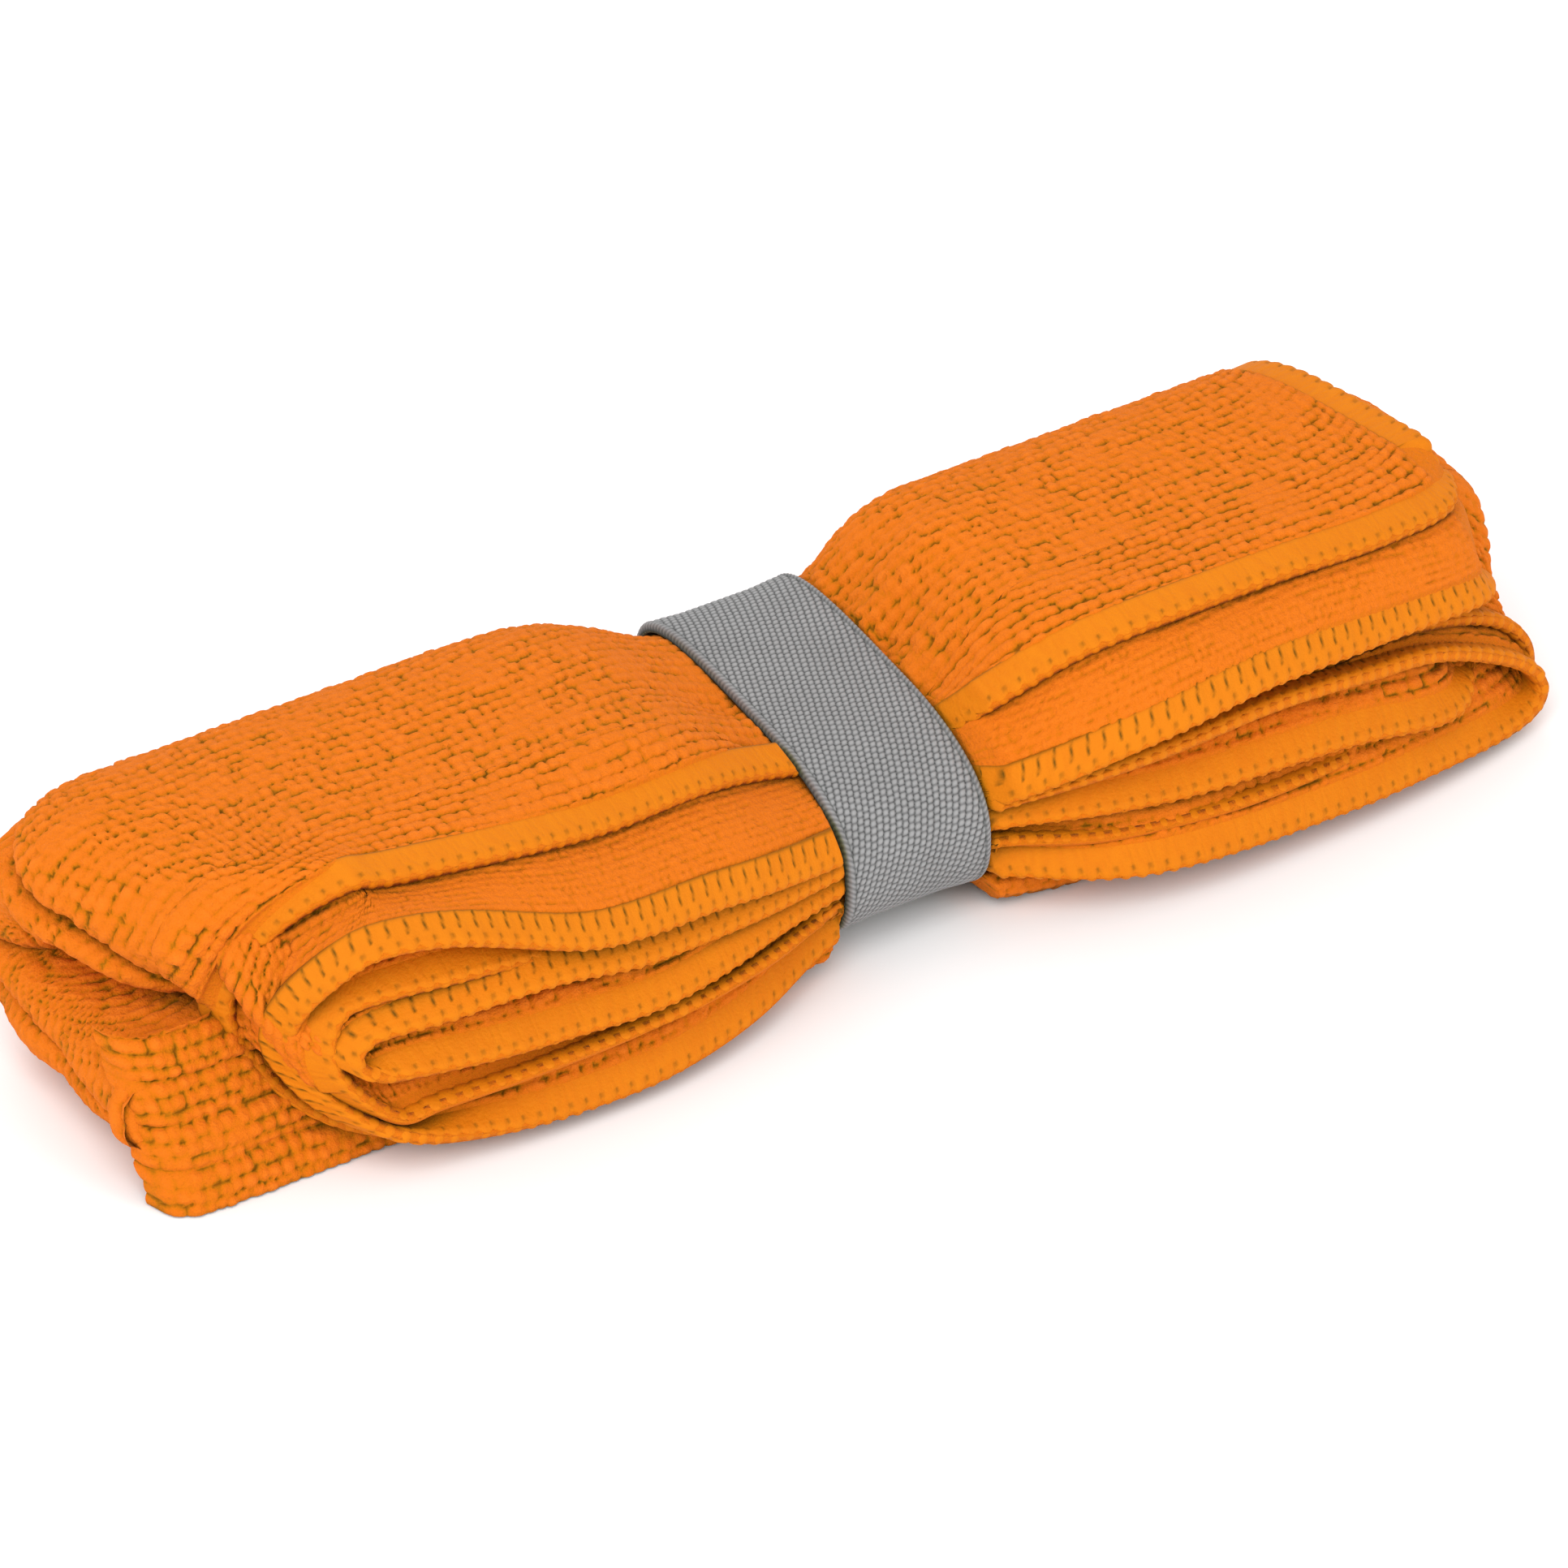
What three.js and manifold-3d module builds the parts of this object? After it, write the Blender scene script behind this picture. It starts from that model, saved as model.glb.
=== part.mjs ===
// A quick dry towel, folded into a flat bundle and held by an elastic band.
//
// The cloth is folded in half along its length, so that its two long edges lie together. The double
// strip is rolled flat, in two turns, and the roll is folded over once more across its width. The
// upper half of the bundle shows the long edges at its front, as two flat spirals, one inside the
// other. The elastic band holds the bundle near its middle and slides off over either end.
//
// Lengths are in millimetres. X runs along the bundle, Y from its front to its back, and Z up. The
// origin is on the surface that the bundle lies on, under the middle of its box.
import * as THREE from 'three';
import { mergeVertices } from 'three/addons/utils/BufferGeometryUtils.js';
import Module from 'manifold-3d';

// Bundle: its overall size, and how square its section is in front of and behind its middle.
const LENGTH = 268;
const HEIGHT = 50;
const BACK = 39.5;
const FRONT = 25.5;
const FRONT_BULGE = 14;
const FRONT_POWER = 2.5;
const BACK_POWER = 4;
const SAG = 0.5;
const END_ROUNDING = { reach: 24, closing: 0.985, height: 0.2, front: 9.6, back: 16 };

// Each half bulges forwards on its own side of the band.
const BULGES = [
  { centre: -60, reach: 56 },
  { centre: 78, reach: 56 },
];

// Elastic band, and how far it draws the bundle in: at the front, the back, the top and the bottom,
// and how much lower still the top lies at the front. The bundle recovers over left and right of it.
const BAND = { centre: 9, width: 28, thickness: 1.5, clearance: 0.4 };
const CINCH = { level: 32, left: 18, right: 12, front: 0.5, back: 3, top: 14, bottom: 3.2, lean: 5.5 };
const LAP = { z: 18, length: 16, ramp: 2, thickness: 1.3 };
const LAP_STITCH = { pitch: 3.2, height: 9, width: 0.8, proud: 0.5, margin: 3 };

// Overlock edging: the width of the thread border, its thickness, and the gap left round it.
const OVERLOCK = { width: 6.5, thickness: 1.6, inset: 0.4 };
const GAP = 0.4;

// How far a slot for the edging runs out past the cloth: forwards, out of a skin and at the open end.
const SLOT = { front: 8, skin: 3, open: 20 };

// How fine the outlines are.
const SECTION_POINTS = 44;
const LENGTH_STATIONS = 30;
const EDGE_STATIONS = 104;
const OUTER_EDGE_STATIONS = 40;
const STATION_GAP = 3;

// Each long edge's path along the front, as [x, z], from the outer end of the roll to its inner end:
// top, left turn, bottom, right turn, inner top, inner left turn and inner bottom.
const NEAR_LONG_EDGE = [
  [118, 43.5], [80, 46], [50, 40], [29, 29.6], [9, 27.2], [-10, 28], [-32, 36], [-55, 43.5], [-86, 45.6],
  [-104, 41.5], [-113, 32], [-113, 20], [-104, 9.5], [-86, 4.6], [-50, 3.6], [-10, 5.4], [9, 6.2], [34, 5.6],
  [80, 4], [112, 4.2], [127, 8], [130, 15.5], [122, 23], [98, 28.5], [66, 31.6], [36, 24.6], [9, 21.4],
  [-10, 22], [-37, 27.6], [-66, 33.6], [-92, 32.6], [-104.5, 25], [-98, 15], [-80, 13.2], [-50, 12.8],
  [-10, 12.6], [9, 12.6], [34, 13.4], [72, 14.4], [105, 11.6],
];
const FAR_LONG_EDGE = [
  [118, 33], [96, 35.6], [68, 36.6], [46, 33], [29, 26.6], [9, 24.4], [-10, 25], [-32, 31.6], [-60, 37.6],
  [-86, 40], [-101, 35.6], [-108.6, 27], [-107.6, 18], [-98, 10.6], [-82, 8.2], [-50, 7.4], [-10, 9.2],
  [9, 9.6], [34, 9.4], [80, 7.8], [112, 8.8], [121, 12.4], [123, 17], [113, 21.8], [95, 24.8], [66, 28.2],
  [36, 21.4], [9, 18.4], [-10, 19], [-37, 24.2], [-66, 29.6], [-91, 28.4], [-98, 26],
  [-98.6, 21.6], [-91, 18.8], [-66, 17.2], [-10, 15.6], [9, 15.4], [34, 16.8], [66, 18.6], [95, 16.2],
  [110, 14.2],
];
const OUTER_SHORT_EDGE = { x: 119.5, from: -12, to: -4 };
const INNER_SHORT_EDGE = { x: 112.5, z: 13.4, height: 1.6, front: -24, back: 22 };

const COLOUR = { pile: 0xf4802a, thread: 0xf78d1e, elastic: 0x9c9c9c, seam: 0x707070 };

const { clamp, lerp } = THREE.MathUtils;

// 1 under the band, where the waist is level along X, and falling to 0 on either side of it.
function cinchAt(x) {
  const past = Math.max(Math.abs(x - BAND.centre) - CINCH.level / 2, 0);
  return Math.exp(-((past / (x < BAND.centre ? CINCH.left : CINCH.right)) ** 2));
}

function bulgeAt(x) {
  const rise = ({ centre, reach }) => Math.cos((Math.PI / 2) * clamp((x - centre) / reach, -1, 1)) ** 2;
  return Math.max(...BULGES.map(rise));
}

// The section across the bundle at x: how far it reaches forwards, backwards, up and down.
function sectionAt(x) {
  const past = clamp((Math.abs(x) - (LENGTH / 2 - END_ROUNDING.reach)) / END_ROUNDING.reach, 0, 1);
  const round = Math.sqrt(1 - (END_ROUNDING.closing * past) ** 2);
  const cinch = cinchAt(x);
  const top = HEIGHT - CINCH.top * cinch;
  const bottom = CINCH.bottom * cinch - SAG * (1 - cinch);
  const middle = (top + bottom) / 2;
  return {
    middle,
    half: ((top - bottom) / 2) * lerp(END_ROUNDING.height, 1, round),
    front: FRONT + FRONT_BULGE * bulgeAt(x) - CINCH.front * cinch - END_ROUNDING.front * (1 - round),
    back: BACK - CINCH.back * cinch - END_ROUNDING.back * (1 - round),
    sunk: CINCH.lean * cinch,
  };
}

// The point of the section at x in the direction of angle, moved out from the surface by grow.
function sectionPoint(x, angle, grow = 0) {
  const { middle, half, front, back, sunk } = sectionAt(x);
  const ahead = Math.cos(angle) < 0;
  const power = 2 / (ahead ? FRONT_POWER : BACK_POWER);
  const spread = (value) => Math.sign(value) * Math.abs(value) ** power;
  const y = spread(Math.cos(angle)) * ((ahead ? front : back) + grow);
  const level = spread(Math.sin(angle));
  const forward = clamp((back - y) / (front + back), 0, 1);
  const z = middle + level * (half + grow) - (sunk * forward * (level + 1)) / 2;
  return new THREE.Vector3(x, y, Math.max(z, -grow));
}

function sectionOutline(x, grow) {
  const angles = Array.from({ length: SECTION_POINTS }, (_, k) => (2 * Math.PI * k) / SECTION_POINTS);
  return angles.map((angle) => sectionPoint(x, angle, grow));
}

// The y of the front surface at x and height z, read off the outline so that it holds on its flats too.
function frontSurface(x, z) {
  const front = sectionOutline(x, 0).slice(SECTION_POINTS / 4, (3 * SECTION_POINTS) / 4 + 1);
  const below = front.findIndex((point) => point.z <= z);
  if (below < 1) return below < 0 ? front.at(-1).y : front[0].y;
  const [upper, lower] = [front[below - 1], front[below]];
  return lerp(lower.y, upper.y, (z - lower.z) / (upper.z - lower.z || 1));
}

// A closed body from rows of points: each row is joined to the next, round the row where round is
// true, and the first and last rows are closed by fans. Where loop is true, the last row joins the
// first one instead.
function loft(rows, loop = false) {
  const count = rows[0].length;
  const positions = rows.flat().flatMap((point) => point.toArray());
  const indices = [];
  const last = loop ? rows.length : rows.length - 1;
  for (let row = 0; row < last; row += 1) {
    const next = (row + 1) % rows.length;
    for (let k = 0; k < count; k += 1) {
      const a = row * count + k;
      const b = row * count + ((k + 1) % count);
      const c = next * count + ((k + 1) % count);
      const d = next * count + k;
      indices.push(a, b, c, a, c, d);
    }
  }
  if (!loop) {
    const sumOf = (row) => row.reduce((sum, point) => sum.add(point), new THREE.Vector3());
    [0, rows.length - 1].forEach((row) => {
      const hub = positions.length / 3;
      positions.push(...sumOf(rows[row]).divideScalar(count).toArray());
      for (let k = 0; k < count; k += 1) {
        const pair = [row * count + k, row * count + ((k + 1) % count)];
        indices.push(...(row === 0 ? [hub, pair[1], pair[0]] : [hub, pair[0], pair[1]]));
      }
    });
  }
  const geometry = new THREE.BufferGeometry();
  geometry.setAttribute('position', new THREE.Float32BufferAttribute(positions, 3));
  geometry.setIndex(indices);
  return faceOut(geometry);
}

// Turns every face over if the body is inside out.
function faceOut(geometry) {
  const position = geometry.getAttribute('position');
  const index = geometry.getIndex();
  const corner = (k) => new THREE.Vector3().fromBufferAttribute(position, index.getX(k));
  let volume = 0;
  for (let k = 0; k < index.count; k += 3) {
    volume += corner(k).dot(corner(k + 1).cross(corner(k + 2)));
  }
  if (volume < 0) {
    for (let k = 0; k < index.count; k += 3) {
      const swapped = index.getX(k);
      index.setX(k, index.getX(k + 1));
      index.setX(k + 1, swapped);
    }
  }
  return geometry;
}

const wasm = await Module();
wasm.setup();

function solidOf(geometry) {
  const bare = geometry.clone();
  bare.deleteAttribute('normal');
  bare.deleteAttribute('uv');
  const merged = mergeVertices(bare, 1e-4);
  return new wasm.Manifold(
    new wasm.Mesh({
      numProp: 3,
      vertProperties: new Float32Array(merged.getAttribute('position').array),
      triVerts: new Uint32Array(merged.getIndex().array),
    }),
  );
}

function geometryOf(solid) {
  const mesh = solid.getMesh();
  const geometry = new THREE.BufferGeometry();
  geometry.setAttribute('position', new THREE.BufferAttribute(mesh.vertProperties, 3));
  geometry.setIndex(new THREE.BufferAttribute(mesh.triVerts, 1));
  return geometry;
}

// The bundle's outer form, before the edging is let into it.
function bundle() {
  // Stations crowd together towards both ends, where the form turns quickly, and two more bound the waist.
  const spread = Array.from(
    { length: LENGTH_STATIONS + 1 },
    (_, k) => (-LENGTH / 2) * Math.cos((Math.PI * k) / LENGTH_STATIONS),
  );
  const waist = [BAND.centre - CINCH.level / 2, BAND.centre + CINCH.level / 2];
  const clear = spread.filter((x) => waist.every((edge) => Math.abs(x - edge) > STATION_GAP));
  const stations = [...clear, ...waist].sort((a, b) => a - b);
  return loft(stations.map((x) => sectionOutline(x, 0)));
}

// A strip of edging along a long edge: it lies in the front surface, flat side along Y.
function longEdge(path, grow = 0) {
  const points = path.map(([x, z]) => new THREE.Vector3(x, 0, z));
  const curve = new THREE.CatmullRomCurve3(points, false, 'centripetal');
  const half = OVERLOCK.thickness / 2 + grow;
  const rows = Array.from({ length: EDGE_STATIONS + 1 }, (_, k) => {
    const at = curve.getPointAt(k / EDGE_STATIONS);
    const along = curve.getTangentAt(k / EDGE_STATIONS);
    if (grow && (k === 0 || k === EDGE_STATIONS)) at.addScaledVector(along, k ? grow : -grow);
    const side = new THREE.Vector3(-along.z, 0, along.x).multiplyScalar(half);
    const depthAt = (sign) => frontSurface(at.x + sign * side.x, at.z + sign * side.z);
    const front = Math.max(depthAt(-1), depthAt(1)) + OVERLOCK.inset;
    const deep = front + OVERLOCK.width + grow;
    const reach = [grow ? front - SLOT.front : front, deep];
    const corner = (sign, y) => new THREE.Vector3(at.x + sign * side.x, y, at.z + sign * side.z);
    return [corner(-1, reach[0]), corner(1, reach[0]), corner(1, reach[1]), corner(-1, reach[1])];
  });
  return loft(rows);
}

// The edging across the roll's outer end: over the top, round the back and under the bottom.
function outerShortEdge(grow = 0) {
  const { x, from, to } = OUTER_SHORT_EDGE;
  const ends = [x - grow, x + OVERLOCK.width + grow];
  const angleAt = (y, upper) => {
    const angle = Math.acos(-((Math.abs(y) / sectionAt(x).front) ** (FRONT_POWER / 2)));
    return upper ? angle : -angle;
  };
  const slack = grow / sectionAt(x).front;
  const start = angleAt(from, true) + slack;
  const finish = angleAt(to, false) - slack;
  const rows = Array.from({ length: OUTER_EDGE_STATIONS + 1 }, (_, k) => {
    const angle = lerp(start, finish, k / OUTER_EDGE_STATIONS);
    const skin = grow ? SLOT.skin : -OVERLOCK.inset;
    const core = -OVERLOCK.inset - OVERLOCK.thickness - grow;
    return [
      sectionPoint(ends[0], angle, skin), sectionPoint(ends[1], angle, skin),
      sectionPoint(ends[1], angle, core), sectionPoint(ends[0], angle, core),
    ];
  });
  return loft(rows);
}

// The edging across the roll's inner end, inside the big loop at the right.
function innerShortEdge(grow = 0) {
  const { x, z, height, front, back } = INNER_SHORT_EDGE;
  const low = grow ? front - SLOT.open : front;
  const shape = new THREE.BoxGeometry(OVERLOCK.width + 2 * grow, back + grow - low, height + 2 * grow);
  shape.translate(x + OVERLOCK.width / 2, (back + grow + low) / 2, z + height / 2);
  return shape;
}

function towelCloth() {
  const long = [NEAR_LONG_EDGE, FAR_LONG_EDGE].map((path) => longEdge(path, GAP));
  const room = [...long, outerShortEdge(GAP), innerShortEdge(GAP)];
  const cut = room.map(solidOf).reduce((sum, solid) => sum.add(solid));
  return geometryOf(solidOf(bundle()).subtract(cut));
}

// The elastic: a closed loop round the waist. Its two ends lap at the back, where it is twice as thick.
function lapped(point) {
  const inside = (LAP.length + LAP.ramp) / 2 - Math.abs(point.z - LAP.z);
  const near = point.y > 0 ? clamp(inside / LAP.ramp, 0, 1) : 0;
  return point.setY(point.y + near * LAP.thickness);
}

function elasticBand() {
  const edges = [BAND.centre - BAND.width / 2, BAND.centre + BAND.width / 2];
  const inside = edges.map((x) => sectionOutline(x, BAND.clearance));
  const outside = edges.map((x) => sectionOutline(x, BAND.clearance + BAND.thickness).map(lapped));
  return loft([...inside, ...outside.reverse()], true);
}

// The seam's thread: one zigzag line of stitches across the lap, lying on the elastic.
function lapStitching() {
  const { pitch, height, width, proud } = LAP_STITCH;
  const reach = BAND.width - 2 * LAP_STITCH.margin;
  const turns = Math.round(reach / pitch);
  const middle = Array.from({ length: turns + 1 }, (_, k) => {
    const x = BAND.centre - reach / 2 + (reach * k) / turns;
    return new THREE.Vector2(x, LAP.z + (k % 2 ? height : -height) / 2);
  });
  const surface = sectionAt(BAND.centre).back + BAND.clearance + BAND.thickness + LAP.thickness;
  const sides = middle.map((point, k) => {
    const before = middle[Math.max(k - 1, 0)];
    const after = middle[Math.min(k + 1, turns)];
    const ahead = after.clone().sub(point).normalize();
    const behind = point.clone().sub(before).normalize();
    const along = ahead.add(behind).normalize();
    return new THREE.Vector2(-along.y, along.x).multiplyScalar(width / 2);
  });
  const outline = [
    ...middle.map((point, k) => point.clone().add(sides[k])),
    ...middle.map((point, k) => point.clone().sub(sides[k])).reverse(),
  ];
  const shape = new THREE.ExtrudeGeometry(new THREE.Shape(outline), { depth: proud, bevelEnabled: false });
  shape.rotateX(Math.PI / 2);
  shape.translate(0, surface + GAP + proud, 0);
  return shape;
}

function named(name, geometry, colour, roughness) {
  const material = new THREE.MeshStandardMaterial({ color: colour, roughness, metalness: 0 });
  const mesh = new THREE.Mesh(geometry, material);
  mesh.name = name;
  return mesh;
}

const towel = new THREE.Group();
towel.add(
  named('towel_cloth', towelCloth(), COLOUR.pile, 0.95),
  named('near_long_edge_overlock', longEdge(NEAR_LONG_EDGE), COLOUR.thread, 0.6),
  named('far_long_edge_overlock', longEdge(FAR_LONG_EDGE), COLOUR.thread, 0.6),
  named('outer_short_edge_overlock', outerShortEdge(), COLOUR.thread, 0.6),
  named('inner_short_edge_overlock', innerShortEdge(), COLOUR.thread, 0.6),
  named('elastic_band', elasticBand(), COLOUR.elastic, 0.85),
  named('band_lap_stitching', lapStitching(), COLOUR.seam, 0.7),
);

export default towel;
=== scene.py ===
"""The looks of a quick dry towel: folded terry cloth, overlocked edges and an elastic band.

Lengths are in millimetres until a mesh is made. X runs along the bundle, Y from front to back, Z up.
"""
import math

import bpy
import numpy as np
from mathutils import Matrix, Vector


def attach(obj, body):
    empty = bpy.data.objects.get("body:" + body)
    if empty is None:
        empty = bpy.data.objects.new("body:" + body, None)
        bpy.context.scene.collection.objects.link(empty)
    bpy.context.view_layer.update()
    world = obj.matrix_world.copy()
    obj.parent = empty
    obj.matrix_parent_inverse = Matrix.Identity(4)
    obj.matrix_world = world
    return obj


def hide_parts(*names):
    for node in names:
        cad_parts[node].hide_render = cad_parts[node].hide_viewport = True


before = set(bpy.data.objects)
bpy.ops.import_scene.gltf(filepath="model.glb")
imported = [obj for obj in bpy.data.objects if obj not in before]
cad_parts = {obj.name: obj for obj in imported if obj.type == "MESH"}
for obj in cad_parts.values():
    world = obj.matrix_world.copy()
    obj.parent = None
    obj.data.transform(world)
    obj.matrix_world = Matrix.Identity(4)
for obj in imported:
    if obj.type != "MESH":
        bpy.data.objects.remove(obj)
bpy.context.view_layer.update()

MM = 0.001
FINE = 0.5          # spacing of the cloth's visible grid
COARSE = 3.0        # spacing of the cloth that other cloth hides
PLY = 3.1           # from one ply to the next
HALF_PLY = 0.9      # from the middle of a ply to the foot of its pile
PILE = 0.95         # height of the loops
ROW = 2.35          # from one row of loops to the next
LOOP = 2.3          # from one loop to the next in a row
ROOT = -5.0         # y where the front margins leave the body of the bundle
BIGHT = -22.4       # y where the lower half's outermost fold begins, and how the others step back
BIGHT_SLOPE = 0.66

HEIGHT, BACK, FRONT = 50.0, 39.5, 25.5
LEAN = 5.5
BAND_X, BAND_WIDTH = 9.0, 28.0
FRONT_POWER, BACK_POWER = 2.5, 4.0


# ---------------------------------------------------------------- curves and noise
def hermite(nodes, values, at):
    """Values at the positions at, on a smooth curve through values at nodes."""
    nodes, values, at = np.asarray(nodes, float), np.asarray(values, float), np.asarray(at, float)
    slopes = np.gradient(values, nodes, axis=0)
    k = np.clip(np.searchsorted(nodes, at) - 1, 0, len(nodes) - 2)
    span = (nodes[k + 1] - nodes[k])[:, None]
    u = np.clip((at - nodes[k])[:, None] / span, 0, 1)
    a, b, c, d = values[k], slopes[k] * span, values[k + 1], slopes[k + 1] * span
    start = (2 * u**3 - 3 * u**2 + 1) * a + (u**3 - 2 * u**2 + u) * b
    return start + (3 * u**2 - 2 * u**3) * c + (u**3 - u**2) * d


def eased(values, width):
    """Values along the stations with their kinks smoothed over width millimetres."""
    reach = int(3 * width / FINE)
    weights = np.exp(-0.5 * (np.arange(-reach, reach + 1) * FINE / width) ** 2)
    before, after = 2 * values[:1] - values[reach:0:-1], 2 * values[-1:] - values[-2 : -reach - 2 : -1]
    padded = np.concatenate([before, values, after])
    return np.stack([np.convolve(column, weights / weights.sum(), "valid") for column in padded.T], axis=-1)


def unit(vectors):
    return vectors / np.maximum(np.linalg.norm(vectors, axis=-1, keepdims=True), 1e-9)


def smooth(value):
    value = np.clip(value, 0, 1)
    return value * value * (3 - 2 * value)


def chance(i, j, seed=0):
    """A number from 0 to 1 for each whole i and j, the same every run."""
    mixed = (np.asarray(i).astype(np.int64) * 73856093) ^ (np.asarray(j).astype(np.int64) * 19349663)
    mixed = (mixed ^ (seed * 83492791 + 12345)) & 0x7FFFFFFF
    mixed = (mixed * 1103515245 + 12345) & 0x7FFFFFFF
    mixed = ((mixed ^ (mixed >> 13)) * 1597334677) & 0x7FFFFFFF
    return ((mixed >> 8) & 0xFFFF) / 65535.0


def noise(a, b, seed=0):
    """Smooth noise from 0 to 1 over a and b, with features about one unit wide."""
    i, j = np.floor(a), np.floor(b)
    u, v = smooth(a - i), smooth(b - j)
    low = chance(i, j, seed) * (1 - u) + chance(i + 1, j, seed) * u
    high = chance(i, j + 1, seed) * (1 - u) + chance(i + 1, j + 1, seed) * u
    return low * (1 - v) + high * v


# ---------------------------------------------------------------- the bundle's form
def cinch_at(x):
    """1 at the waist under the band, falling to 0 on either side."""
    past = np.maximum(np.abs(x - BAND_X) - 12, 0)
    return np.exp(-((past / np.where(x < BAND_X, 19, 12)) ** 2))


def lean(y, z, x, back_again=False):
    """z of a section's point once the waist's top has sunk towards the front, or the way back."""
    top, bottom, front, back = section_at(x)
    sunk = LEAN * cinch_at(x) * np.clip((back - y) / (front + back), 0, 1)
    share = sunk / (top - bottom)
    if back_again:
        within = (z - share * bottom) / (1 - share)
        return np.where(z < bottom, z, np.where(z > top - sunk, z + sunk, within))
    return z - sunk * np.clip((z - bottom) / (top - bottom), 0, 1)


def section_at(x):
    """Top, bottom, front and back of the bundle's section at each x."""
    cinch = cinch_at(x)
    bulge = np.maximum(
        np.cos(np.pi / 2 * np.clip((x + 60) / 56, -1, 1)) ** 2,
        np.cos(np.pi / 2 * np.clip((x - 78) / 56, -1, 1)) ** 2,
    )
    top = HEIGHT - 14 * cinch
    bottom = 3.2 * cinch
    return top, bottom, FRONT + 14 * bulge - 0.5 * cinch, BACK - 0.7 * cinch


def strand(x, w, at):
    """Points of the cloth across the bundle, at depth w under its outside, for one x and w per row.

    They start at ROOT in the upper half, go back, round the fold at the back, and forward in the
    lower half to BIGHT. The positions at are along the strand in millimetres, or None for all of it
    in even steps given by the returned length.
    """
    top, bottom, _, back = section_at(x)
    middle, half = (top + bottom) / 2, (top - bottom) / 2
    deep = np.clip(1 - w / 25, 0.02, 1)
    angles = np.linspace(np.pi / 2, -np.pi / 2, 49)
    across = np.maximum(np.cos(angles), 0) ** (2 / BACK_POWER)
    rise = np.sign(np.sin(angles)) * np.abs(np.sin(angles)) ** (2 / BACK_POWER)
    reach = back - 0.85 * w
    bight = (BIGHT + BIGHT_SLOPE * (w - PLY))[:, None]
    y = np.concatenate([np.full((len(x), 1), ROOT), reach[:, None] * across, bight], axis=1)
    z = np.concatenate([np.ones(1), rise, -np.ones(1)])[None, :] * (half * deep)[:, None] + middle[:, None]
    steps = np.hypot(np.diff(y, axis=1), np.diff(z, axis=1))
    run = np.concatenate([np.zeros((len(x), 1)), np.cumsum(steps, axis=1)], axis=1)
    z = lean(y, z, x[:, None])
    out = np.empty((len(x), len(at), 3))
    for k in range(len(x)):
        place = at * run[k, -1]
        out[k, :, 0] = x[k]
        out[k, :, 1] = np.interp(place, run[k], y[k])
        out[k, :, 2] = np.interp(place, run[k], z[k])
    return out, run[:, -1]


def settle(points, t):
    """The small shapes of the real bundle: its slanted ends, and the creases in its left end."""
    x, y, z = points[..., 0], points[..., 1], points[..., 2]
    t = np.reshape(t, (-1,) + (1,) * (x.ndim - 1))
    x = x + (3.5 - 10 * (y + 18) / 47) * np.clip(1 - t / 90, 0, 1) * smooth((z - 24) / 3)
    end = smooth((-100 - x) / 20)
    valley = np.interp(y, [-12, -4, 10, 26, 34], [19, 28.4, 34.7, 39, 40])
    slant = 15 * smooth((29 - y) / 50) * smooth((-92 - x) / 42)
    x = x + slant * smooth((z - valley + 1.5) / 3)
    x = x + end * (5.5 * np.exp(-((z - valley) / 1.7) ** 2) + 4.5 * np.exp(-((z - 22.5) / 2.0) ** 2))
    x = x + end * 2.4 * np.exp(-((z - 11 - 0.12 * y) / 1.8) ** 2)
    x = x + end * 1.6 * (noise(y / 9 + 4, z / 8, 71) - 0.5)
    past = np.maximum(np.abs(x - BAND_X) - 12, 0)
    fade = np.exp(-past / 20) * smooth(past / 6) * smooth((z - 26) / 8)
    fan = (y - 8) / (1 + past / 60)
    z = z + 4.2 * fade * (noise(fan / 6.5 + np.sign(x - BAND_X) * 9, past / 45, 81) - 0.62)
    return np.stack([x, y, z], axis=-1)


def clear_of_band(points, room=0.3):
    """Draws points under the band inside its inner face."""
    x, y, z = points[..., 0], points[..., 1], points[..., 2]
    top, bottom, front, back = section_at(np.full_like(x, BAND_X))
    middle, half = (top + bottom) / 2, (top - bottom) / 2
    past = np.maximum(np.abs(x - BAND_X) - BAND_WIDTH / 2 + 0.4, 0)
    loose = 2.2 * past
    level = lean(y, z, BAND_X, back_again=True)
    reach = np.where(y < 0, front, back) - room + loose
    power = np.where(y < 0, FRONT_POWER, BACK_POWER)
    tall = half - room + loose
    ratio = (np.abs(y / reach) ** power + np.abs((level - middle) / tall) ** power) ** (1 / power)
    shrink = 1 / np.maximum(ratio, 1)
    near_y = y * shrink
    near_z = lean(near_y, middle + (level - middle) * shrink, BAND_X)
    pinched = (shrink < 1) & (past < 8)
    return np.stack([x, np.where(pinched, near_y, y), np.where(pinched, near_z, z)], axis=-1)


# The double strip's path round the roll, as x and depth under the outside. T is the top run, L the
# left turn, F the bottom run, R the right turn, C the inner top run, K the inner left turn and E
# the inner bottom run.
def turn(x, w, reach, rise, side):
    angles = np.linspace(-np.pi / 2, np.pi / 2, 25) * (1 if rise > 0 else -1)
    return [(x + side * reach * math.cos(a), w + abs(rise) * math.sin(a)) for a in angles]


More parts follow.
